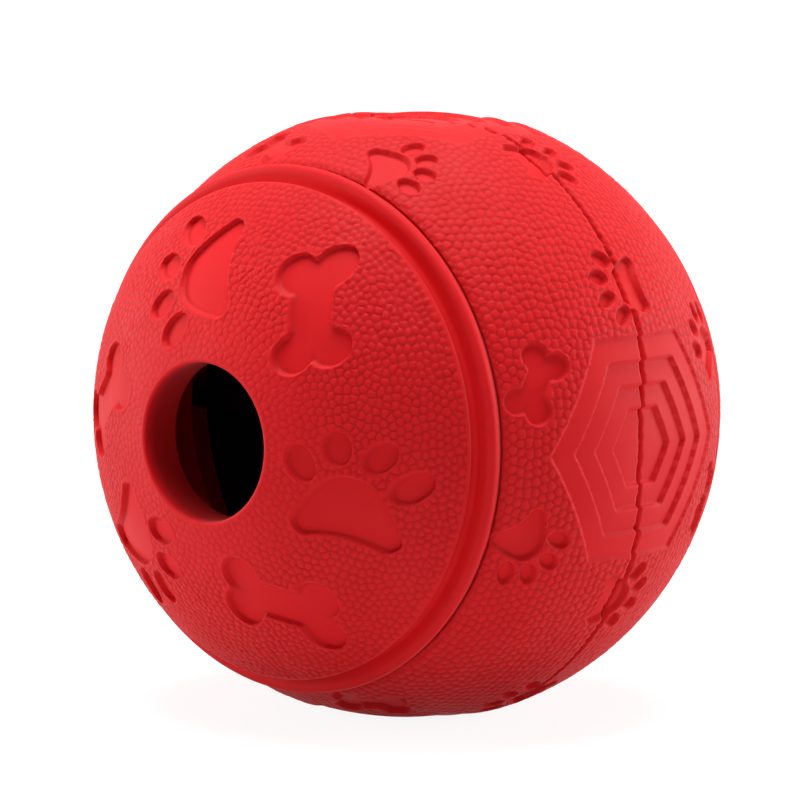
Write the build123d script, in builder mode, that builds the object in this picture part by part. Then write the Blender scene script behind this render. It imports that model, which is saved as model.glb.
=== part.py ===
"""Treat dispensing ball: two rubber belt shells, two plug caps with a treat hole, and a maze disc inside.

Millimetres. The origin is the ball's centre, +Z is up, and the hole axis runs along Y with the front cap at -Y.
Angles called polar run from the hole axis, and angles called round run about it, from +X towards +Z.
"""
import os
from math import acos, cos, degrees, radians, sin, sqrt

from build123d import *

# Belt shells
belt_radius = 39.5
belt_wall = 5.5
seam_break = 0.3
recess_depth = 0.5

# Mouth of each shell, where a cap sits
mouth_polar = 57.5
mouth_depth = 3.2
neck_radius = 28.5
neck_depth = 6.0

# Cap
dome_radius = 38.5
dome_rise = 2.1
cap_wall = 5.6
hole_radius = 9.9
hole_round = 0.5
crack_width = 0.45
shoulder_distance = 30.0
shoulder_round = 0.6
groove_polar = 51.4
groove_radius = 39.3
groove_round = 0.9
lip_polar = 55.6
lip_radius = 40.5
lip_round = 0.5
lip_edge_radius = 39.7
spigot_wall = 3.0
fit_clearance = 0.05

# Hexagon pads, four round the middle of the ball
pad_count = 4
pad_radius = 15.9
pad_ring_width = 3.4
pad_levels = 4
pad_border_depth = 0.32
pad_step = 0.37

# Bones: overall length and width
cap_bone_length = 14.6
cap_bone_width = 10.4
belt_bone_length = 10.2
belt_bone_width = 7.0
bone_lobe_share = 0.225
bone_shaft_share = 0.47

# Paws: width of the main pad
cap_paw_width = 13.0
belt_paw_width = 7.4

# Outline of the main pad: ends and middles of its arcs, as shares of the pad's width
paw_end_shares = [(-0.45, -0.485), (0.38, -0.48), (0.485, -0.35), (0.08, 0.15), (-0.24, 0.15), (-0.535, -0.355)]
paw_mid_shares = [(-0.02, -0.43), (0.475, -0.44), (0.325, -0.085), (-0.08, 0.195), (-0.44, -0.115), (-0.53, -0.445)]

# Toes: place, half length and half width as shares of the pad's width
toe_shares = [
    (-0.535, 0.23, 0.145, 0.125),
    (-0.19, 0.42, 0.155, 0.125),
    (0.23, 0.435, 0.18, 0.135),
    (0.54, 0.18, 0.245, 0.15),
]
# Lean of each toe from the paw's upright, in degrees
toe_leans = [13, 12, -50, -75]

# Layout: polar angle, angle round the axis, and turn of each motif, with the count of its copies
cap_motif_count = 3
cap_motif_polar = 33.8
cap_bone_round, cap_bone_turn = 52.3, 51
cap_paw_round, cap_paw_turn = -13.0, 0
belt_bone_polar, belt_bone_round, belt_bone_turn = 64.4, 14.5, 57
belt_paw_polar, belt_paw_round, belt_paw_turn = 64.5, -17.0, -139.5
seam_paw_round, seam_paw_turn = 30.0, 90

# Maze disc
maze_rebate = 2.0
maze_thickness = 3.0
window_radius = 8.5
window_pitch = 19.0
window_count = 3
hub_radius = 6.0
vane_thickness = 2.4
vane_height = 11.0
vane_wall_gap = 1.2

# Values that follow from those above
inner_radius = belt_radius - belt_wall
rebate_radius = inner_radius + maze_rebate
ledge_radius = belt_radius - mouth_depth
ledge_height = ledge_radius * cos(radians(mouth_polar))
neck_end = ledge_height - neck_depth
cap_polar = mouth_polar - degrees(crack_width / belt_radius)
cap_inner_radius = dome_radius - cap_wall
spigot_radius = neck_radius - fit_clearance
spigot_bore = spigot_radius - spigot_wall

# The round seams of the outer surfaces run between the motifs
belt_seam_round = 45.0
cap_seam_round = 20.0


def half_plane(angle):
    """Plane through the hole axis: x is the distance from the axis, y runs along it."""
    return Plane(
        origin=(0, 0, 0),
        x_dir=(cos(radians(angle)), 0, sin(radians(angle))),
        z_dir=(-sin(radians(angle)), 0, cos(radians(angle))),
    )


def polar_point(radius, polar):
    """Point of a profile at a distance from the ball's centre and an angle from the hole axis."""
    return (radius * sin(radians(polar)), -radius * cos(radians(polar)))


def dome_point(radius, distance):
    """Point of a profile on a sphere about the dome's centre, at a distance from the hole axis."""
    return (distance, -dome_rise - sqrt(radius**2 - distance**2))


def spot(radius, polar, round_angle, turn, rise=0):
    """Plane that touches a sphere: its x points away from the hole, then turns, and its z points outwards."""
    tilt, spin = radians(polar), radians(round_angle)
    normal = Vector(sin(tilt) * cos(spin), -cos(tilt), sin(tilt) * sin(spin))
    away = Vector(cos(tilt) * cos(spin), sin(tilt), cos(tilt) * sin(spin))
    return Plane(origin=Vector(0, -rise, 0) + normal * radius, x_dir=away, z_dir=normal).rotated((0, 0, turn))


def ball_plane(angle, rise=0):
    """Plane that sets a sphere with its poles on the hole axis and its seam at an angle round it."""
    return Plane(origin=(0, -rise, 0), x_dir=(cos(radians(angle)), 0, sin(radians(angle))), z_dir=(0, -1, 0))


def bone(length, width):
    """Bone outline: a shaft with two round lobes at each end, along x."""
    lobe = width * bone_lobe_share
    Rectangle(length - 2 * lobe, width * bone_shaft_share)
    with GridLocations(length - 2 * lobe, width - 2 * lobe, 2, 2):
        Circle(lobe)


def paw(width):
    """Paw outline: a three-cornered main pad with four toes above it, upright along y."""
    ends = [(x * width, y * width) for x, y in paw_end_shares]
    middles = [(x * width, y * width) for x, y in paw_mid_shares]
    with BuildLine() as outline:
        for index, middle in enumerate(middles):
            ThreePointArc(ends[index], middle, ends[(index + 1) % len(ends)])
    make_face(outline.edges())
    for (x, y, half_length, half_width), lean in zip(toe_shares, toe_leans):
        with Locations((x * width, y * width)):
            Ellipse(half_width * width, half_length * width, rotation=lean)


def rounds(first, count):
    """Angles of evenly spaced copies round the hole axis."""
    return [first + copy * 360 / count for copy in range(count)]


def pad_recess(level):
    """One terrace of every hexagon pad: a hexagonal pocket whose floor follows the ball."""
    with BuildPart() as recess:
        for angle in rounds(0, pad_count):
            with BuildSketch(spot(belt_radius, 90, angle, 0)):
                RegularPolygon(pad_radius - level * pad_ring_width, 6)
        extrude(amount=pad_radius, both=True)
        with Locations(ball_plane(belt_seam_round)):
            Sphere(belt_radius - pad_border_depth - level * pad_step, mode=Mode.SUBTRACT)
    return recess.part


# Shallow bones and paws of the belt, cut to an even depth
with BuildPart() as belt_motifs:
    for angle in rounds(belt_bone_round, pad_count):
        with BuildSketch(spot(belt_radius, belt_bone_polar, angle, belt_bone_turn)):
            bone(belt_bone_length, belt_bone_width)
    for angle in rounds(belt_paw_round, pad_count):
        with BuildSketch(spot(belt_radius, belt_paw_polar, angle, belt_paw_turn)):
            paw(belt_paw_width)
    for side in (1, -1):
        for angle in rounds(side * seam_paw_round, pad_count):
            with BuildSketch(spot(belt_radius, 90, angle, side * seam_paw_turn)):
                paw(belt_paw_width)
    extrude(amount=belt_bone_length, both=True)
    with Locations(ball_plane(belt_seam_round)):
        Sphere(belt_radius - recess_depth, mode=Mode.SUBTRACT)

# Shallow bones and paws of the cap, taking turns round the hole
with BuildPart() as cap_motifs:
    for angle in rounds(cap_bone_round, cap_motif_count):
        with BuildSketch(spot(dome_radius, cap_motif_polar, angle, cap_bone_turn, dome_rise)):
            bone(cap_bone_length, cap_bone_width)
    for angle in rounds(cap_paw_round, cap_motif_count):
        with BuildSketch(spot(dome_radius, cap_motif_polar, angle, cap_paw_turn, dome_rise)):
            paw(cap_paw_width)
    extrude(amount=cap_bone_length, both=True)
    with Locations(ball_plane(cap_seam_round, dome_rise)):
        Sphere(dome_radius - recess_depth, mode=Mode.SUBTRACT)

pad_recesses = [pad_recess(level) for level in range(pad_levels)]

# Front half of the belt: wall, mouth with its ledge and neck, and a rebate at the middle for the maze disc
outer_break = sqrt(belt_radius**2 - seam_break**2)
mouth = polar_point(belt_radius, mouth_polar)
ledge = polar_point(ledge_radius, mouth_polar)
neck_foot = (sqrt(inner_radius**2 - neck_end**2), -neck_end)
rebate_height = maze_thickness / 2
rebate_edge = (sqrt(inner_radius**2 - rebate_height**2), -rebate_height)
with BuildPart() as front_shell:
    with BuildSketch(half_plane(belt_seam_round)):
        with BuildLine():
            Polyline((rebate_radius, 0), (outer_break - seam_break, 0), (outer_break, -seam_break))
            ThreePointArc(
                (outer_break, -seam_break),
                polar_point(belt_radius, (90 + mouth_polar) / 2),
                mouth,
            )
            Polyline(mouth, ledge, (neck_radius, -ledge_height), (neck_radius, -neck_end), neck_foot)
            ThreePointArc(
                neck_foot,
                polar_point(inner_radius, (90 + degrees(acos(neck_end / inner_radius))) / 2),
                rebate_edge,
            )
            Polyline(rebate_edge, (rebate_radius, -rebate_height), (rebate_radius, 0))
        make_face()
    revolve(axis=Axis.Y)
    add(belt_motifs.part, mode=Mode.SUBTRACT)
    for terrace in pad_recesses:
        add(terrace, mode=Mode.SUBTRACT)

# Rear half of the belt: the same moulding, turned over about the middle of a hexagon
with BuildPart() as rear_shell:
    add(front_shell.part, rotation=(180, 0, 0))

# Front cap: dome with the treat hole, finger groove, lip, tapered flange and plug spigot
hole_mouth = dome_point(dome_radius, hole_radius)
hole_end = dome_point(cap_inner_radius, hole_radius)
shoulder = dome_point(dome_radius, shoulder_distance)
groove = polar_point(groove_radius, groove_polar)
lip = polar_point(lip_radius, lip_polar)
lip_edge = polar_point(lip_edge_radius, cap_polar)
flange_foot = (ledge_height * sin(radians(cap_polar)) / cos(radians(cap_polar)), -ledge_height)
spigot_end = (spigot_bore, -neck_end)
spigot_root = dome_point(cap_inner_radius, spigot_bore)
with BuildPart() as front_cap:
    with BuildSketch(half_plane(cap_seam_round)) as cap_profile:
        with BuildLine():
            Line(hole_end, hole_mouth)
            ThreePointArc(hole_mouth, dome_point(dome_radius, (hole_radius + shoulder_distance) / 2), shoulder)
            Polyline(shoulder, groove, lip, lip_edge, flange_foot, (spigot_radius, -ledge_height))
            Polyline((spigot_radius, -ledge_height), (spigot_radius, -neck_end), spigot_end, spigot_root)
            ThreePointArc(spigot_root, dome_point(cap_inner_radius, (hole_radius + spigot_bore) / 2), hole_end)
        make_face()
    revolve(axis=Axis.Y)
    rings = front_cap.edges().filter_by(GeomType.CIRCLE)
    for point, rounding in (
        (hole_mouth, hole_round),
        (shoulder, shoulder_round),
        (groove, groove_round),
        (lip, lip_round),
    ):
        ring = rings.sort_by(lambda edge: abs(edge.radius - point[0]) + abs(edge.arc_center.Y - point[1]))[0]
        fillet(ring, radius=rounding)
        rings = front_cap.edges().filter_by(GeomType.CIRCLE)
    add(cap_motifs.part, mode=Mode.SUBTRACT)

# Rear cap: the same moulding, turned over
with BuildPart() as rear_cap:
    add(front_cap.part, rotation=(180, 0, 0))

# Maze disc: its rim is trapped in the rebates of the two shells
vane_reach = sqrt(inner_radius**2 - vane_height**2) - vane_wall_gap
with BuildPart() as maze:
    with BuildSketch(Plane.XZ):
        Circle(rebate_radius - fit_clearance)
        with PolarLocations(window_pitch, window_count):
            Circle(window_radius, mode=Mode.SUBTRACT)
    extrude(amount=maze_thickness / 2, both=True)
    with BuildSketch(Plane.XZ):
        Circle(hub_radius)
        with PolarLocations(vane_reach / 2, window_count, start_angle=180 / window_count):
            Rectangle(vane_reach, vane_thickness)
    extrude(amount=vane_height, both=True)

os.makedirs("parts", exist_ok=True)
for piece, label in (
    (front_shell, "front_shell"),
    (rear_shell, "rear_shell"),
    (front_cap, "front_cap"),
    (rear_cap, "rear_cap"),
    (maze, "maze"),
):
    piece.part.label = label
    export_step(piece.part, f"parts/{label}.step")
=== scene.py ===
"""Looks of the treat dispensing ball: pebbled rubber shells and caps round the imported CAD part.

The sizes below are in millimetres and turn to metres when a mesh is made. The origin is the ball's
centre, +Z is up, and the hole axis runs along Y with the front cap at -Y. Angles called polar run
from the hole axis, and angles called round run about it, from +X towards +Z. Both are in degrees.
Profiles are pairs: distance from the hole axis, height towards the front.
"""
import math

import bpy
import numpy as np
from mathutils import Matrix, Vector
from mathutils.kdtree import KDTree


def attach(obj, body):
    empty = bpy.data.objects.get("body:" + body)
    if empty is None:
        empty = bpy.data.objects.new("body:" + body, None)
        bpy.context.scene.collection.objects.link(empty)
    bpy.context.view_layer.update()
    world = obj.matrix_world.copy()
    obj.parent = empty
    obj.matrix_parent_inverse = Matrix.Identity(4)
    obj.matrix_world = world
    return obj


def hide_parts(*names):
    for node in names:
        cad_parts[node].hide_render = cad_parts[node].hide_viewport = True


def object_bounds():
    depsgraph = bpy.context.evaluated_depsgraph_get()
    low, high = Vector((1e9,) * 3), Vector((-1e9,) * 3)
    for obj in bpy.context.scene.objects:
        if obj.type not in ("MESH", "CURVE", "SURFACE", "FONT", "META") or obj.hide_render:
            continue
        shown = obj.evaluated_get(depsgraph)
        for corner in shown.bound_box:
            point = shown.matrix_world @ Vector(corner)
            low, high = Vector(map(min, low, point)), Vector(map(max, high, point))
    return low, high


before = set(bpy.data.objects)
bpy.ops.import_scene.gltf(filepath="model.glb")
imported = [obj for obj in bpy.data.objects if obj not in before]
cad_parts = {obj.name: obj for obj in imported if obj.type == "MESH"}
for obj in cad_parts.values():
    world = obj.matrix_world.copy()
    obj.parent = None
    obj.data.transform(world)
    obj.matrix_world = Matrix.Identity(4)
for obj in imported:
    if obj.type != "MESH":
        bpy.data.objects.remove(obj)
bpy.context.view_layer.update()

MM = 0.001

# Belt shells
belt_radius = 39.5
belt_wall = 5.5
recess_depth = 0.65
seam_depth = 2.6

# Mouth of each shell, where a cap sits
mouth_polar = 57.2
mouth_depth = 3.2
mouth_round = 0.3
mouth_round_run = 0.6
neck_radius = 28.5
neck_depth = 6.0

# Cap: its wall, and its hole with the finely meshed part of the bore and the shade painted into it
cap_wall = 5.6
hole_radius = 9.9
hole_round = 0.25
bore_shown = 2.0
bore_painted_shade = 2.0

# Ring of a cap from the dome outwards: how far each form stands over the belt's surface or sinks
# below it, and how much lower the rear cap's ring sits
shoulder_polar = 49.9
shoulder_stand = 1.0
edge_polar = 50.7
edge_round = 0.35
groove_polars = (51.5, 52.7)
groove_sinks = (0.85, 0.75)
groove_round = 0.45
bead_polar = 53.9
bead_stand = 0.75
bead_round = 1.0
lip_polar = 55.35
lip_stand = 1.25
lip_round = 0.8
lip_edge_stand = -0.4
flange_start = 0.8
rear_drop = 0.9

# Fit of a cap in its mouth
crack_width = 0.3
spigot_wall = 3.0
fit_clearance = 0.05

# Hexagon pads, four round the middle of the ball
pad_count = 4
pad_radius = 15.9
pad_ring_width = 3.4
pad_levels = 4
pad_border_depth = 0.35
pad_step = 0.55
pad_margin = 2

# Bones and paws: sizes, and outlines as shares of their widths
cap_bone = (14.6, 9.2)
belt_bone = (9.5, 6.5)
bone_lobe_share = 0.263
bone_shaft_share = 0.51
bone_blend_share = 0.066
cap_paw_width = 11.5
belt_paw_width = 7.4
paw_end_shares = [
    (-0.37, -0.37), (0.37, -0.37), (0.485, -0.15), (0.24, 0.285), (-0.24, 0.285), (-0.485, -0.15)
]
paw_mid_shares = [
    (0, -0.295), (0.487, -0.31), (0.375, 0.09), (0, 0.375), (-0.375, 0.09), (-0.487, -0.31)
]

# Toes: place, half length and half width as shares of the paw's width, and lean in degrees
toe_shares = [
    (-0.52, 0.39, 0.21, 0.14),
    (-0.2, 0.64, 0.19, 0.133),
    (0.2, 0.64, 0.19, 0.133),
    (0.52, 0.39, 0.21, 0.14),
]
toe_leans = [35, 20, -20, -35]

# Layout of the cap: distance from the hole axis, angle round it and turn of each motif
cap_motif_count = 3
cap_bone_spot = (21.4, 53.5, 53)
cap_paw_spot = (20.6, -18.8, 6.5)

# Layout of the belt: polar angle, angle round the axis and turn of each motif
pad_spot = (90, 0, 0)
belt_bone_spot = (64.6, 14.6, 57)
belt_paw_spots = [(63.3, -17.0, -140), (91.1, 30, 90), (88.9, -30, -90)]

# Maze disc
maze_rebate = 2.0
maze_thickness = 3.0

# Mesh: columns round the ball, spacing of the rows on the shown side, and the coarser inside
belt_columns = 1000
cap_columns = 700
row_gap = 0.25
seam_rows = (0, 0.07, 0.15, 0.24, 0.34, 0.46)
inner_columns = 100
inner_rows = 7
sharp_angle = 65

# Mesh of the outlines: points on a rounded corner, on an arc of a paw and on the dome's profile,
# and where that dome starts and ends, from the hole's and the dome's edge
corner_points = 9
paw_arc_points = 8
dome_points = 60
dome_start = 1.2
dome_end = 0.5

# Cap points that count as dome: past the hole's edge, and this near to the dome's sphere
dome_inset = 0.6
dome_tolerance = 0.03

# Walls of the motifs and pads: their run, the lip over them and the painted shade at their foot
motif_wall_run = 0.34
motif_lip = 0.07
motif_lip_width = 0.25
pad_wall_run = 0.28
foot_painted_shade = 0.7
foot_run_share = 0.6

# Pebbles: pitch, looseness, and how far their middles reach past the shown surface
belt_pebble = 1.25
belt_looseness = 0.16
belt_overlap = 3
cap_pebble = 1.1
cap_looseness = 0.24
cap_overlap = 2
fewest_in_row = 3

# Pebbles push each other apart in a few rounds
settling_rounds = 4
settling_neighbours = 6
settling_share = 0.3

# Pebbles: height, unevenness, and the share of the pitch that slopes
pebble_height = 0.125
pebble_sink = 0.075
pebble_swell = (0.8, 1.15)
pebble_crown_share = 0.24

# Pebbles fade out towards a motif and the dome's edge, and are weaker near the hole
motif_fade = (0.05, 0.55)
edge_fade = (0.35, 0.1)
hole_fade = (3, 11)
hole_grain = 0.5
sliding_grain = 0.3

# Seam and crack, with the flash of the mould, and how dark and how wide the shade painted in each
# gap is
seam_half_width = 0.48
seam_dip = 0.75
seam_touch = 0.02
crack_close = 0.06
crack_close_depth = 0.8
crack_narrow_reach = 0.35
flash_height = 0.08
flash_reach = 0.3
gap_painted_shade = 1.2
seam_dark_reach = 0.22
mouth_dark_reach = 0.25
lip_dark_reach = 0.35

# How they waver round the ball: middle value, swing, finest wave, least and most
crack_waver = (0.15, 0.25, 1.2, 0, 0.8)
seam_width_waver = (1, 0.2, 1.2, 0.5, 1.6)
seam_dip_waver = (1, 0.3, 0.9, 0.5, 1.5)
flash_waver = (0, 1, 1.6, 0, None)
wave_count = 24
fewest_waves = 6

# Small steps for the slope of an outline, and against division by nothing
probe = 0.01
tiny = 1e-9

# How much a valley draws the diagonals of the mesh to it
valley_pull = 0.1

# Rubber: size of its clouds and of its fine skin, height of that skin, and strength of the shade
# painted in the valleys
cloud_size = 9
skin_size = 0.3
skin_height = 0.03
painted_valley_shade = 0.45

# Values that follow from those above
inner_radius = belt_radius - belt_wall
rebate_radius = inner_radius + maze_rebate
rebate_height = maze_thickness / 2
ledge_radius = belt_radius - mouth_depth
ledge_height = ledge_radius * math.cos(math.radians(mouth_polar))
neck_end = ledge_height - neck_depth
cap_polar = mouth_polar - math.degrees(crack_width / belt_radius)
spigot_radius = neck_radius - fit_clearance
spigot_bore = spigot_radius - spigot_wall
hole_mouth = (hole_radius, belt_radius)

# Height of a triangle with equal sides of length one
triangle_height = math.sqrt(0.75)


def polar_point(radius, polar):
    """Point of a profile at a distance from the ball's centre and an angle from the hole axis."""
    return (radius * math.sin(math.radians(polar)), radius * math.cos(math.radians(polar)))


def dome_point(radius, rise, distance):
    """Point of a profile on a sphere about a dome's centre, at a distance from the hole axis."""
    return (distance, rise + math.sqrt(radius**2 - distance**2))


def unit(vectors):
    """Vectors of length one."""
    return vectors / np.linalg.norm(vectors, axis=-1, keepdims=True)


def smooth_step(value, low, high):
    """0 below low, 1 above high, and a smooth ramp between them."""
    share = np.clip((value - low) / (high - low), 0, 1)
    return share * share * (3 - 2 * share)


def bell(distance, reach):
    """1 at no distance, falling away smoothly over a reach."""
    return np.exp(-((distance / reach) ** 2))


def rounded(corners):
    """Profile through corners (distance, height, radius), with an arc at each inner corner."""
    path = [np.array(corners[0][:2])]
    for before, here, after in zip(corners, corners[1:], corners[2:]):
        corner, radius = np.array(here[:2]), here[2]
        if not radius:
            path.append(corner)
            continue
        back, on = unit(np.array(before[:2]) - corner), unit(np.array(after[:2]) - corner)
        half = math.acos(np.clip(back @ on, -1, 1)) / 2
        middle = corner + unit(back + on) * radius / math.sin(half)
        start, end = (corner + way * radius / math.tan(half) - middle for way in (back, on))
        for share in np.linspace(0, 1, corner_points):
            path.append(middle + unit(start * (1 - share) + end * share) * radius)
    path.append(np.array(corners[-1][:2]))
    return np.array(path)


def resampled(path, gap):
    """The same profile with points about one gap apart."""
    along = np.concatenate(([0], np.cumsum(np.linalg.norm(np.diff(path, axis=0), axis=1))))
    even = np.linspace(0, along[-1], int(round(along[-1] / gap)) + 1)
    return np.stack([np.interp(even, along, path[:, axis]) for axis in (0, 1)], axis=1)


def swept(profile, columns):
    """Points of a profile turned round the hole axis, as rows by columns by 3."""
    turn = np.arange(columns) * 2 * math.pi / columns
    distance, height = profile[:, :1], profile[:, 1:]
    heights = np.broadcast_to(-height, (len(profile), columns))
    return np.stack([distance * np.cos(turn), heights, distance * np.sin(turn)], axis=2)


def copies(spot, count):
    """Evenly spaced copies of a spot round the hole axis."""
    place, round_angle, turn = spot
    return [(place, round_angle + copy * 360 / count, turn) for copy in range(count)]


def soft_minimum(first, second, blend):
    """The lesser of two distances, with a soft inner corner where they are nearly equal."""
    near = np.clip(1 - np.abs(first - second) / blend, 0, 1)
    return np.minimum(first, second) - near * near * blend / 4


def bone_distance(x, y, size):
    """Distance outside a bone outline, negative inside it."""
    length, width = size
    lobe = width * bone_lobe_share
    blend = width * bone_blend_share
    reach, spread = length / 2 - lobe, width / 2 - lobe
    over_x, over_y = np.abs(x) - reach, np.abs(y) - width * bone_shaft_share / 2
    shaft = np.hypot(np.maximum(over_x, 0), np.maximum(over_y, 0))
    shaft += np.minimum(np.maximum(over_x, over_y), 0)
    near_lobe = np.hypot(over_x, np.abs(y) - spread) - lobe
    far_lobe = np.hypot(over_x, np.abs(y) + spread) - lobe
    return soft_minimum(soft_minimum(near_lobe, far_lobe, blend), shaft, blend)


def arc_through(start, middle, end):
    """Points along the arc through three points, without the last one."""
    (ax, ay), (bx, by), (cx, cy) = start, middle, end
    scale = 2 * (ax * (by - cy) + bx * (cy - ay) + cx * (ay - by))
    squares = [px * px + py * py for px, py in (start, middle, end)]
    centre = np.array((
        squares[0] * (by - cy) + squares[1] * (cy - ay) + squares[2] * (ay - by),
        squares[0] * (cx - bx) + squares[1] * (ax - cx) + squares[2] * (bx - ax),
    )) / scale
    first, half, last = (
        math.atan2(*(np.array(point) - centre)[::-1]) for point in (start, middle, end)
    )
    sweep, part = (last - first) % (2 * math.pi), (half - first) % (2 * math.pi)
    sweep = sweep if part < sweep else sweep - 2 * math.pi
    angles = first + sweep * np.arange(paw_arc_points) / paw_arc_points
    radius = math.dist(start, centre)
    return centre + radius * np.stack([np.cos(angles), np.sin(angles)], axis=1)


paw_outline = np.concatenate([
    arc_through(start, middle, end)
    for start, middle, end in zip(
        paw_end_shares, paw_mid_shares, paw_end_shares[1:] + paw_end_shares[:1]
    )
])


def paw_distance(x, y, width):
    """Distance outside a paw outline, negative inside it: the main pad and its four toes."""
    points = np.stack([x, y], axis=1)[:, None, :] / width
    starts, ends = paw_outline, np.roll(paw_outline, -1, axis=0)
    runs = ends - starts
    share = np.clip(((points - starts) * runs).sum(2) / (runs * runs).sum(1), 0, 1)
    nearest = np.linalg.norm(points - starts - share[..., None] * runs, axis=2).min(1)
    above = (starts[:, 1] > points[..., 1]) != (ends[:, 1] > points[..., 1])
    slope = np.where(runs[:, 1] == 0, 1, runs[:, 1])
    crossing = starts[:, 0] + (points[..., 1] - starts[:, 1]) * runs[:, 0] / slope
    inside = ((points[..., 0] < crossing) & above).sum(1) % 2 == 1
    distance = np.where(inside, -nearest, nearest) * width
    for (toe_x, toe_y, half_length, half_width), lean in zip(toe_shares, toe_leans):
        lean = math.radians(lean)
        over_x, over_y = x / width - toe_x, y / width - toe_y
        across = (over_x * math.cos(lean) + over_y * math.sin(lean)) / half_width
        along = (over_y * math.cos(lean) - over_x * math.sin(lean)) / half_length
        ratio = np.hypot(across, along)
        steep = np.maximum(np.hypot(across / half_width, along / half_length), tiny)
        distance = np.minimum(distance, width * ratio * (ratio - 1) / steep)
    return distance


def hexagon_distance(x, y, radius):
    """Distance outside a hexagon with corners on x, negative inside it."""
    slanted = np.abs(x) * triangle_height + np.abs(y) / 2
    return np.maximum(np.abs(y), slanted) - radius * triangle_height


def belt_axes(polar, round_angle, turn):
    """Outward direction and the two directions of a motif's drawing plane on the belt."""
    tilt, spin, twist = (math.radians(angle) for angle in (polar, round_angle, turn))
    outward = np.array((math.cos(spin), 0, math.sin(spin)))
    rearward = np.array((0, 1, 0))
    normal = math.sin(tilt) * outward - math.cos(tilt) * rearward
    away = math.cos(tilt) * outward + math.sin(tilt) * rearward
    side = np.cross(normal, away)
    along_x = math.cos(twist) * away + math.sin(twist) * side
    along_y = math.cos(twist) * side - math.sin(twist) * away
    return normal, along_x, along_y


def belt_outlines(points, motifs):
    """Signed distance of belt points to the nearest of some motifs, and the way in which it grows.

    Each motif is a distance function, the size that it takes, its reach and its spot.
    """
    nearest = np.full(len(points), 2 * belt_radius)
    growing = np.zeros_like(points)
    for outline, size, reach, spot in motifs:
        normal, along_x, along_y = belt_axes(*spot)
        chosen = np.flatnonzero(points @ normal > math.sqrt(belt_radius**2 - reach**2))
        x, y = points[chosen] @ along_x, points[chosen] @ along_y
        distance = outline(x, y, size)
        slope_x = outline(x + probe, y, size) - distance
        slope_y = outline(x, y + probe, size) - distance
        slope = unit(slope_x[:, None] * along_x + slope_y[:, None] * along_y + tiny)
        closer = distance < nearest[chosen]
        nearest[chosen[closer]] = distance[closer]
        growing[chosen[closer]] = slope[closer]
    return nearest, growing


def cap_outlines(points):
    """Signed distance of points on the cap to the nearest motif, as seen along the hole axis."""
    nearest = np.full(len(points), 2 * belt_radius)
    motifs = [
        (bone_distance, cap_bone, cap_bone[0], spot)
        for spot in copies(cap_bone_spot, cap_motif_count)
    ]
    motifs += [
        (paw_distance, cap_paw_width, cap_paw_width, spot)
        for spot in copies(cap_paw_spot, cap_motif_count)
    ]
    for outline, size, reach, (distance, round_angle, turn) in motifs:
        spin, twist = math.radians(round_angle), math.radians(turn)
        out = points[:, 0] * math.cos(spin) + points[:, 2] * math.sin(spin) - distance
        side = points[:, 2] * math.cos(spin) - points[:, 0] * math.sin(spin)
        chosen = np.flatnonzero(np.hypot(out, side) < reach)
        out, side = out[chosen], side[chosen]
        x = out * math.cos(twist) + side * math.sin(twist)
        y = side * math.cos(twist) - out * math.sin(twist)
        nearest[chosen] = np.minimum(nearest[chosen], outline(x, y, size))
    return nearest


def recess(distance):
    """Depth of a sunk motif at distances from its outline."""
    return recess_depth * smooth_step(-distance, -motif_wall_run / 2, motif_wall_run / 2)


def wall_lip(distance):
    """Height of the low lip round a motif."""
    return motif_lip * bell(distance - motif_wall_run / 2, motif_lip_width) * (distance > 0)


def wall_foot_shade(distance):
    """Painted shade near the foot of a motif's wall, where a recess is darkest."""
    return foot_painted_shade * bell(distance + motif_wall_run / 2, foot_run_share * motif_wall_run)


def half_cell(points, way, row_step, column_step):
    """Half of a mesh cell's size along a direction."""
    round_way = unit(np.stack([-points[:, 2], np.zeros(len(points)), points[:, 0]], axis=1))
    across = np.abs((way * round_way).sum(1))
    along = np.sqrt(np.clip(1 - across**2, 0, 1))
    return 0.5 * np.maximum(across * column_step, along * row_step)


def pull_to_wall(points, distance, growing, cell):
    """Slides belt points near the top or bottom edge of a pad's wall on to it, for clean edges."""
    for level in (pad_wall_run / 2, -pad_wall_run / 2):
        near = np.abs(distance - level) < np.minimum(cell, pad_wall_run / 2)
        points[near] += growing[near] * (level - distance[near])[:, None]
        distance[near] = level
    points[:] = unit(points) * belt_radius


def tree_of(points):
    """Search tree of some points."""
    tree = KDTree(len(points))
    for index, point in enumerate(points):
        tree.insert(point, index)
    tree.balance()
    return tree


def neighbours(tree, points, count):
    """Indices of the nearest points in a tree."""
    return np.array([
        [index for place, index, gap in tree.find_n(point, count)] for point in points
    ])


def pebble_seeds(rng, radius, low, high, pitch, looseness):
    """Middles of pebbles on a band of a sphere: loose rows, pushed apart into even places."""
    rows = []
    row_pitch = pitch * triangle_height / radius
    for polar in np.arange(math.radians(low), math.radians(high), row_pitch):
        fitting = int(round(2 * math.pi * radius * math.sin(polar) / pitch))
        count = max(fewest_in_row, fitting)
        turn = (np.arange(count) + rng.random()) * 2 * math.pi / count
        across, height = math.sin(polar), np.full(count, -math.cos(polar))
        rows.append(np.stack([across * np.cos(turn), height, across * np.sin(turn)], axis=1))
    seeds = np.concatenate(rows) * radius
    seeds += rng.normal(0, looseness * pitch, seeds.shape)
    seeds = unit(seeds) * radius
    for _ in range(settling_rounds):
        near = neighbours(tree_of(seeds), seeds, settling_neighbours + 1)[:, 1:]
        apart = seeds[:, None, :] - seeds[near]
        gap = np.linalg.norm(apart, axis=2, keepdims=True)
        push = (apart / gap * np.clip(pitch - gap, 0, None)).sum(1) * settling_share
        seeds = unit(seeds + push) * radius
    return seeds


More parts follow.
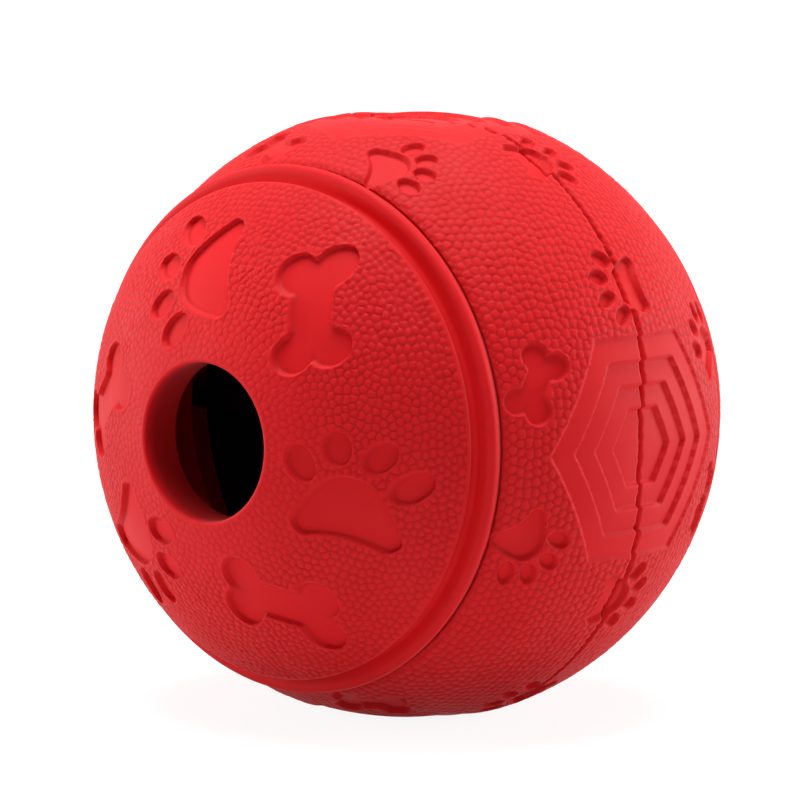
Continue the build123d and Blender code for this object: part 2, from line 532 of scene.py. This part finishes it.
def pebbles(points, radius, seeds, rng, weight, row_step, column_step, pitch):
    """Height of flat-topped pebbles on a sphere, and how deep points lie in their valleys.

    Points near a valley slide on to its bottom.
    """
    near = neighbours(tree_of(seeds), points, 2)
    own, other = seeds[near[:, 0]], seeds[near[:, 1]]
    between = other - own
    span = np.linalg.norm(between, axis=1)
    way = between / span[:, None]
    to_valley = (((points - other) ** 2).sum(1) - ((points - own) ** 2).sum(1)) / (2 * span)
    cell = half_cell(points, way, row_step, column_step)
    slid = (to_valley < cell) & (weight > sliding_grain)
    points[slid] += way[slid] * to_valley[slid][:, None]
    points[:] = unit(points) * radius
    to_valley[slid] = 0
    swell = rng.uniform(*pebble_swell, len(seeds))[near[:, 0]]
    crown = 1 - (1 - np.clip(to_valley / (pitch * pebble_crown_share), 0, 1)) ** 2
    return (pebble_height * swell * crown - pebble_sink) * weight, (1 - crown) * weight


def wavering(rng, waver):
    """Value for each column of the belt, which wavers raggedly about its middle value."""
    middle, swing, finest, least, most = waver
    turn = np.arange(belt_columns) * 2 * math.pi / belt_columns
    waves = rng.integers(fewest_waves, int(2 * math.pi * belt_radius / finest), wave_count)
    phases = rng.uniform(0, 2 * math.pi, wave_count)
    ragged = np.cos(waves[:, None] * turn + phases[:, None]).sum(0) / math.sqrt(wave_count)
    return np.clip(middle + swing * ragged, least, most)


def belt_motifs():
    """Bones and paws of the belt: distance function, its size, reach and spot of each."""
    motifs = [
        (bone_distance, belt_bone, belt_bone[0], copy) for copy in copies(belt_bone_spot, pad_count)
    ]
    for spot in belt_paw_spots:
        motifs += [
            (paw_distance, belt_paw_width, belt_paw_width, copy) for copy in copies(spot, pad_count)
        ]
    return motifs


def belt_skin(rng):
    """Shown surface of the front shell, seam to mouth.

    Gives its points as rows by columns, and how deep each lies in a valley.
    """
    reach = math.radians(90 - mouth_polar) * belt_radius - seam_touch
    rows = int(round((reach - seam_rows[-1]) / row_gap))
    from_seam = np.concatenate((seam_rows[:-1], np.linspace(seam_rows[-1], reach, rows)))
    from_mouth = reach - from_seam
    polar = math.radians(90) - (from_seam + seam_touch) / belt_radius
    profile = np.stack([np.sin(polar), np.cos(polar)], axis=1) * belt_radius
    grid = swept(profile, belt_columns)
    narrowing = wavering(rng, crack_waver) * (crack_width - crack_close)
    grid[..., 1] -= narrowing * bell(from_mouth, crack_narrow_reach)[:, None]
    points = unit(grid.reshape(-1, 3)) * belt_radius

    # Pads, level by level, then the bones and paws
    column_step = 2 * math.pi * np.repeat(profile[:, 0], belt_columns) / belt_columns
    row_step = np.repeat(np.gradient(from_seam), belt_columns)
    depth = np.zeros(len(points))
    edge = np.full(len(points), belt_radius)
    for level in range(pad_levels):
        radius = pad_radius - level * pad_ring_width
        pads = [
            (hexagon_distance, radius, radius + pad_margin, copy)
            for copy in copies(pad_spot, pad_count)
        ]
        distance, growing = belt_outlines(points, pads)
        cell = half_cell(points, growing, row_step, column_step)
        pull_to_wall(points, distance, growing, cell)
        step = pad_step if level else pad_border_depth
        depth += step * np.clip(0.5 - distance / pad_wall_run, 0, 1)
        edge = np.minimum(edge, distance)
    distance = belt_outlines(points, belt_motifs())[0]
    depth = np.maximum(depth, recess(distance))
    edge = np.minimum(edge, distance)

    # Pebbles, clear of all these
    weight = smooth_step(edge, *motif_fade)
    seeds = pebble_seeds(
        rng, belt_radius, mouth_polar - belt_overlap, 90 + belt_overlap, belt_pebble, belt_looseness
    )
    height, valley = pebbles(
        points, belt_radius, seeds, rng, weight, row_step, column_step, belt_pebble
    )
    height += wall_lip(distance)

    # Seam and mouth
    half_width = seam_half_width * wavering(rng, seam_width_waver)
    dip = seam_dip * wavering(rng, seam_dip_waver)
    groove = dip * (1 - smooth_step(from_seam[:, None], 0, half_width))
    groove += mouth_round * (1 - smooth_step(from_mouth, 0, mouth_round_run))[:, None]
    flash = flash_height * wavering(rng, flash_waver)
    groove -= flash * bell(from_mouth, flash_reach)[:, None]
    # Painted shade in the seam and in the crack at the mouth
    gaps = gap_painted_shade * (bell(from_seam, seam_dark_reach) + bell(from_mouth, mouth_dark_reach))
    # Painted shade also at the foot of each motif's wall
    valley = np.maximum(np.maximum(valley, wall_foot_shade(distance)), np.repeat(gaps, belt_columns))
    points = unit(points) * (belt_radius - depth + height - groove.reshape(-1))[:, None]
    shape = (len(profile), belt_columns)
    return points.reshape(*shape, 3), valley.reshape(shape)


def cap_dome(drop):
    """Outer radius of a cap's dome and the height of its centre, and the edge where it ends."""
    shoulder = polar_point(belt_radius + shoulder_stand - drop, shoulder_polar)
    squares = math.hypot(*shoulder) ** 2 - math.hypot(*hole_mouth) ** 2
    rise = squares / (2 * (shoulder[1] - hole_mouth[1]))
    radius = math.hypot(hole_radius, hole_mouth[1] - rise)
    along = math.radians(edge_polar)
    reach = rise * math.cos(along) + math.sqrt(radius**2 - (rise * math.sin(along)) ** 2)
    return radius, rise, polar_point(reach, edge_polar)


def cap_profile(drop):
    """Profile of a cap's shown surface, hole to crack."""
    radius, rise, edge = cap_dome(drop)
    corners = [(hole_radius, hole_mouth[1] - bore_shown, 0), (*hole_mouth, hole_round)]
    for distance in np.linspace(hole_radius + dome_start, edge[0] - dome_end, dome_points):
        corners.append((*dome_point(radius, rise, distance), 0))
    corners.append((*edge, edge_round))
    for sink, polar in zip(groove_sinks, groove_polars):
        corners.append((*polar_point(belt_radius - sink - drop, polar), groove_round))
    corners.append((*polar_point(belt_radius + bead_stand - drop, bead_polar), bead_round))
    corners.append((*polar_point(belt_radius + lip_stand - drop, lip_polar), lip_round))
    corners.append(polar_point(belt_radius + lip_edge_stand - drop, cap_polar))
    return resampled(rounded(corners), row_gap)


def cap_skin(rng, drop):
    """Shown surface of a cap, hole to crack.

    Gives its points as rows by columns, and how deep each lies in a valley.
    """
    radius, rise, edge = cap_dome(drop)
    middle = np.array((0, -rise, 0))
    profile = cap_profile(drop)
    grid = swept(profile, cap_columns)
    on_dome = (profile[:, 0] > hole_radius + dome_inset) & (profile[:, 0] < edge[0])
    off_sphere = np.hypot(profile[:, 0], profile[:, 1] - rise) - radius
    on_dome &= np.abs(off_sphere) < dome_tolerance
    on_dome &= np.arange(len(profile)) <= np.argmin(np.hypot(*(profile - edge).T))
    points = unit(grid[on_dome].reshape(-1, 3) - middle) * radius
    distance_out = np.repeat(profile[on_dome, 0], cap_columns)
    column_step = 2 * math.pi * distance_out / cap_columns

    # Pebbles of the dome, clear of the motifs
    fade_start, fade_end = (hole_radius + fade for fade in hole_fade)
    weight = hole_grain + (1 - hole_grain) * smooth_step(distance_out, fade_start, fade_end)
    weight *= smooth_step(cap_outlines(points), *motif_fade)
    weight *= 1 - smooth_step(distance_out, *(edge[0] - fade for fade in edge_fade))
    low = math.degrees(math.asin(hole_radius / radius)) - cap_overlap
    high = math.degrees(math.asin(edge[0] / radius)) + cap_overlap
    seeds = pebble_seeds(rng, radius, low, high, cap_pebble, cap_looseness)
    height, dip = pebbles(points, radius, seeds, rng, weight, row_gap, column_step, cap_pebble)

    # Bones and paws, sunk along the hole axis
    distance = cap_outlines(points)
    # Painted shade at the foot of each motif's wall
    dip = np.maximum(dip, wall_foot_shade(distance))
    height += wall_lip(distance)
    sunk = recess(distance) * radius / -points[:, 1]
    points = unit(points) * (radius + height)[:, None] + middle
    points[:, 1] += sunk
    grid[on_dome] = points.reshape(-1, cap_columns, 3)

    # Painted shade in the crack at the lip and in the bore
    to_crack = np.hypot(*(profile - profile[-1]).T)
    gap = gap_painted_shade * bell(to_crack, lip_dark_reach)
    valley = np.repeat(gap[:, None], cap_columns, axis=1)
    valley[on_dome] = dip.reshape(-1, cap_columns)
    in_bore = profile[:, 0] < hole_radius + hole_round
    into_bore = np.clip(hole_mouth[1] - profile[in_bore, 1], 0, bore_shown)
    # Painted shade in the bore, darker further in
    valley[in_bore] = (into_bore * bore_painted_shade / bore_shown)[:, None]
    return grid, valley


def band_faces(first, second):
    """Triangles between two rings of vertices, each given as its first index and its count."""
    (start_a, count_a), (start_b, count_b) = first, second
    if count_a < count_b:
        return band_faces(second, first)[:, ::-1]
    each = count_a // count_b
    turning = each - each // 2
    coarse = np.arange(count_b)
    after = (coarse + 1) % count_b
    faces = []
    for step in range(each):
        here = start_a + coarse * each + step
        beyond = start_a + (coarse * each + step + 1) % count_a
        apex = start_b + (coarse if step < turning else after)
        faces.append(np.stack([here, beyond, apex], axis=1))
        if step == turning - 1:
            faces.append(np.stack([beyond, start_b + after, start_b + coarse], axis=1))
    return np.concatenate(faces)


def skin_faces(points, valley):
    """Triangles of a grid of points, cut along the diagonal that follows valleys and walls."""
    rows, columns = valley.shape
    index = np.arange(rows * columns).reshape(rows, columns)
    level = np.linalg.norm(points, axis=2)
    corners = [
        (array[:-1], np.roll(array, -1, axis=1)[:-1], np.roll(array, -1, axis=1)[1:], array[1:])
        for array in (index, level, valley)
    ]
    (a, b, c, d), (level_a, level_b, level_c, level_d), (dip_a, dip_b, dip_c, dip_d) = corners
    one_way = np.abs(level_a - level_c) - valley_pull * (dip_a + dip_c)
    other_way = np.abs(level_b - level_d) - valley_pull * (dip_b + dip_d)
    pick = (one_way <= other_way)[..., None]
    first = np.where(pick, np.stack([a, b, c], axis=2), np.stack([a, b, d], axis=2))
    second = np.where(pick, np.stack([a, c, d], axis=2), np.stack([b, c, d], axis=2))
    return np.concatenate([first.reshape(-1, 3), second.reshape(-1, 3)])


def closed_ring(skin, valley, inside, profile_painted_shade):
    """Vertices, faces and valley depths of a ring: its shown skin, closed by a coarser profile.

    The last argument gives the painted shade of each point of that profile, as a valley depth.
    """
    rows, columns = valley.shape
    rings = [((rows - 1) * columns, columns)]
    vertices = [skin.reshape(-1, 3), swept(np.array(inside), inner_columns).reshape(-1, 3)]
    rings += [(rows * columns + row * inner_columns, inner_columns) for row in range(len(inside))]
    rings.append((0, columns))
    faces = [skin_faces(skin, valley)]
    faces += [band_faces(a, b)[:, ::-1] for a, b in zip(rings, rings[1:])]
    vertices, faces = np.concatenate(vertices), np.concatenate(faces)
    corners = vertices[faces]
    if np.einsum("ij,ij->", corners[:, 0], np.cross(corners[:, 1], corners[:, 2])) < 0:
        faces = faces[:, ::-1]
    return vertices, faces, np.concatenate([valley.reshape(-1), np.repeat(profile_painted_shade, inner_columns)])


def belt_ring(rng):
    """Front shell: its skin, the mouth with its ledge and neck, the inner wall and the rebate."""
    closed_polar = cap_polar + math.degrees(crack_close / belt_radius)
    inner_start = math.degrees(math.acos(neck_end / inner_radius))
    inner_end = math.degrees(math.acos(rebate_height / inner_radius))
    inner_polars = np.linspace(inner_start, inner_end, inner_rows)
    inside = [
        polar_point(belt_radius - crack_close_depth, closed_polar),
        polar_point(belt_radius - 2 * crack_close_depth, mouth_polar),
        polar_point(ledge_radius, mouth_polar),
        (neck_radius, ledge_height),
        (neck_radius, neck_end),
        *[polar_point(inner_radius, polar) for polar in inner_polars],
        (rebate_radius, rebate_height),
        (rebate_radius, 0),
        (belt_radius - seam_depth, 0),
    ]
    return closed_ring(*belt_skin(rng), inside, np.zeros(len(inside)))


def cap_ring(rng, drop):
    """Cap in the front mouth: its skin, tapered flange, plug spigot and the dome's underside."""
    radius, rise = cap_dome(drop)[:2]
    inside = [
        polar_point(belt_radius + lip_edge_stand - drop - flange_start, cap_polar),
        (ledge_height * math.tan(math.radians(cap_polar)), ledge_height),
        (spigot_radius, ledge_height),
        (spigot_radius, neck_end),
        (spigot_bore, neck_end),
    ]
    under = [
        dome_point(radius - cap_wall, rise, distance)
        for distance in np.linspace(spigot_bore, hole_radius, inner_rows)
    ]
    # Painted shade on the dome's underside, seen through the hole
    profile_painted_shade = np.repeat((0, bore_painted_shade), (len(inside), len(under)))
    return closed_ring(*cap_skin(rng, drop), inside + under, profile_painted_shade)


def piece_of(name, vertices, faces, valley, material):
    """Object with a smooth mesh, and the valley depth of each vertex, which its material paints as
    shade.
    """
    mesh = bpy.data.meshes.new(name)
    mesh.vertices.add(len(vertices))
    mesh.vertices.foreach_set("co", (vertices * MM).astype(np.float32).reshape(-1))
    mesh.loops.add(faces.size)
    mesh.loops.foreach_set("vertex_index", faces.astype(np.int32).reshape(-1))
    mesh.polygons.add(len(faces))
    mesh.polygons.foreach_set("loop_start", np.arange(0, faces.size, 3, dtype=np.int32))
    mesh.update(calc_edges=True)
    mesh.validate()
    mesh.shade_smooth()
    mesh.set_sharp_from_angle(angle=math.radians(sharp_angle))
    depth = mesh.attributes.new("valley", "FLOAT", "POINT")
    depth.data.foreach_set("value", valley.astype(np.float32))
    mesh.materials.append(material)
    piece = bpy.data.objects.new(name, mesh)
    bpy.context.scene.collection.objects.link(piece)
    return piece


def linear(hex_colour):
    """Linear colour from an sRGB hex value."""
    shares = [int(hex_colour[place:place + 2], 16) / 255 for place in (1, 3, 5)]
    return (*[
        share / 12.92 if share <= 0.04045 else ((share + 0.055) / 1.055) ** 2.4
        for share in shares
    ], 1)


def add_node(tree, kind, inputs=None, **settings):
    """Node with its settings, and with a value or a link on each named input."""
    node = tree.nodes.new(kind)
    for name, value in settings.items():
        setattr(node, name, value)
    for name, value in (inputs or {}).items():
        if isinstance(value, bpy.types.NodeSocket):
            tree.links.new(value, node.inputs[name])
        else:
            node.inputs[name].default_value = value
    return node


def new_tree(name):
    """Material with an empty node tree."""
    material = bpy.data.materials.new(name)
    material.use_nodes = True
    material.node_tree.nodes.clear()
    return material, material.node_tree


def seen_rays(tree):
    """1 for rays that show the background: from the camera, off gloss or through glass."""
    rays = add_node(tree, "ShaderNodeLightPath").outputs
    shown = rays["Is Camera Ray"]
    for kind in ("Is Glossy Ray", "Is Transmission Ray"):
        either = add_node(tree, "ShaderNodeMath", {0: shown, 1: rays[kind]}, operation="MAXIMUM")
        shown = either.outputs[0]
    return shown


def moulded_rubber(name, main, worn, painted_shade_colour):
    """Compression-moulded natural rubber.

    Even pigment, a soft low gloss from the mould and a fine dull skin give the eye broad, pale
    highlights. The valley attribute paints shade on it: a darker red in the valleys, gaps and bore.
    """
    material, tree = new_tree(name)
    place = add_node(tree, "ShaderNodeTexCoord").outputs["Object"]
    cloud = add_node(tree, "ShaderNodeTexNoise", {
        "Vector": place, "Scale": 1 / (cloud_size * MM), "Detail": 3.0})
    skin = add_node(tree, "ShaderNodeTexNoise", {
        "Vector": place, "Scale": 1 / (skin_size * MM), "Detail": 2.0})
    pigment = add_node(tree, "ShaderNodeMix", {
        "Factor": cloud.outputs["Fac"], "A": linear(main), "B": linear(worn)}, data_type="RGBA")
    # Painted shade: the valley attribute mixes in the darker red
    dip = add_node(tree, "ShaderNodeAttribute", attribute_name="valley")
    shade = add_node(tree, "ShaderNodeMath", {
        0: dip.outputs["Fac"], 1: painted_valley_shade}, operation="MULTIPLY")
    colour = add_node(tree, "ShaderNodeMix", {
        "Factor": shade.outputs[0], "A": pigment.outputs["Result"], "B": linear(painted_shade_colour),
    }, data_type="RGBA")
    rough = add_node(tree, "ShaderNodeMapRange", {
        "Value": cloud.outputs["Fac"],
        "From Min": 0.3, "From Max": 0.7, "To Min": 0.6, "To Max": 0.7})
    bump = add_node(tree, "ShaderNodeBump", {
        "Height": skin.outputs["Fac"], "Strength": 0.25, "Distance": skin_height * MM})
    rubber = add_node(tree, "ShaderNodeBsdfPrincipled", {
        "Base Color": colour.outputs["Result"], "Roughness": rough.outputs["Result"],
        "Specular IOR Level": 0.2, "Sheen Weight": 0.06, "Sheen Roughness": 0.45,
        "Normal": bump.outputs["Normal"]})
    add_node(tree, "ShaderNodeOutputMaterial", {"Surface": rubber.outputs["BSDF"]})
    return material


random_seed = 38
rng = np.random.default_rng(random_seed)
# The last colour of each rubber is the darker red of its painted shade
red_rubber = moulded_rubber("moulded_red_rubber", "#E6121A", "#E01018", "#A0060C")
# The maze rubber is nearly black, as painted shade inside the hole
maze_shade_rubber = moulded_rubber("maze_rubber_painted_shade", "#140405", "#180506", "#0C0202")

# The rear pieces are turned over about X
turned_over = np.array((1, -1, -1))
shell = belt_ring(rng)
for node, body, slot, (vertices, faces, valley), facing in (
    ("front_shell", "ball", "belt_rubber", shell, 1),
    ("rear_shell", "ball", "belt_rubber", shell, turned_over),
    ("front_cap", "front_plug", "cap_rubber", cap_ring(rng, 0), 1),
    ("rear_cap", "rear_plug", "cap_rubber", cap_ring(rng, rear_drop), turned_over),
):
    piece = piece_of(node + "_rubber", vertices * facing, faces, valley, red_rubber)
    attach(piece, body)
    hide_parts(node)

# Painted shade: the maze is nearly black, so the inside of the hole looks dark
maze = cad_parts["maze"]
maze.data.materials.clear()
maze.data.materials.append(maze_shade_rubber)

# Floor: matt white paper, which gives the eye plain white with the ball's faint shadow on it
floor_size = 3.0
paper, tree = new_tree("matt_white_paper")
matt = add_node(tree, "ShaderNodeBsdfDiffuse", {"Color": linear("#DADADA")})
shaded = add_node(tree, "ShaderNodeBsdfDiffuse", {"Color": linear("#898989")})
glow = add_node(tree, "ShaderNodeEmission", {"Color": linear("#FFFFFF"), "Strength": 0.9})
lifted = add_node(tree, "ShaderNodeAddShader", {0: shaded.outputs[0], 1: glow.outputs[0]})
mixed = add_node(tree, "ShaderNodeMixShader", {
    0: seen_rays(tree), 1: matt.outputs[0], 2: lifted.outputs[0]})
add_node(tree, "ShaderNodeOutputMaterial", {"Surface": mixed.outputs[0]})
bpy.ops.mesh.primitive_plane_add(size=floor_size, location=(0, 0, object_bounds()[0].z))
floor = bpy.context.object
floor.name = "paper_floor"
floor.data.materials.append(paper)

# Camera at the photograph's view: its angles, its distance and the ball's place in view, in metres
view_angles = (40.36, 8.22, 1.35)
camera_distance = 0.8
ball_in_view = (0.00136, -0.001544)
camera_azimuth, camera_elevation, camera_roll = (math.radians(angle) for angle in view_angles)
right = Vector((math.cos(camera_azimuth), math.sin(camera_azimuth), 0))
back = Vector((
    math.sin(camera_azimuth) * math.cos(camera_elevation),
    -math.cos(camera_azimuth) * math.cos(camera_elevation),
    math.sin(camera_elevation),
))
up = back.cross(right)
right, up = (
    right * math.cos(camera_roll) + up * math.sin(camera_roll),
    up * math.cos(camera_roll) - right * math.sin(camera_roll),
)
lens = bpy.data.cameras.new("camera")
lens.lens = 281.3
lens.sensor_width = 36
lens.clip_start, lens.clip_end = 0.01, 20
camera = bpy.data.objects.new("camera", lens)
axes = Matrix((right, up, back)).transposed().to_4x4()
place = back * camera_distance - right * ball_in_view[0] - up * ball_in_view[1]
camera.matrix_world = Matrix.Translation(place) @ axes
bpy.context.scene.collection.objects.link(camera)
bpy.context.scene.camera = camera

# Light: softboxes above and low at both sides, a little behind the ball, and a weak one behind the
# camera. Each has its direction, its distance and width in metres, and its power in watts.
for name, way, distance, size, power in (
    ("top_softbox", up + back * 0.12, 1.6, 1.2, 33.5),
    ("left_softbox", up * 0.17 - right * 0.97 - back * 0.19, 0.9, 0.4, 4.6),
    ("right_softbox", up * 0.17 + right * 0.94 - back * 0.29, 0.9, 0.4, 4.8),
    ("front_softbox", back + up * 0.2, 1.3, 0.8, 1.2),
):
    lamp = bpy.data.lights.new(name, "AREA")
    lamp.shape = "SQUARE"
    lamp.size = size
    lamp.energy = power
    softbox = bpy.data.objects.new(name, lamp)
    softbox.location = way.normalized() * distance
    softbox.rotation_euler = way.to_track_quat("Z", "Y").to_euler()
    softbox.visible_camera = False
    bpy.context.scene.collection.objects.link(softbox)

# World: white where it is seen, and dim as a light
world = bpy.data.worlds.new("white_studio")
bpy.context.scene.world = world
world.use_nodes = True
tree = world.node_tree
tree.nodes.clear()
seen = add_node(tree, "ShaderNodeBackground", {"Color": linear("#FFFFFF"), "Strength": 1.0})
walls = add_node(tree, "ShaderNodeBackground", {"Color": linear("#FFFFFF"), "Strength": 0.05})
mixed = add_node(tree, "ShaderNodeMixShader", {
    0: seen_rays(tree), 1: walls.outputs[0], 2: seen.outputs[0]})
add_node(tree, "ShaderNodeOutputWorld", {"Surface": mixed.outputs[0]})

bpy.context.scene.view_settings.view_transform = "Standard"
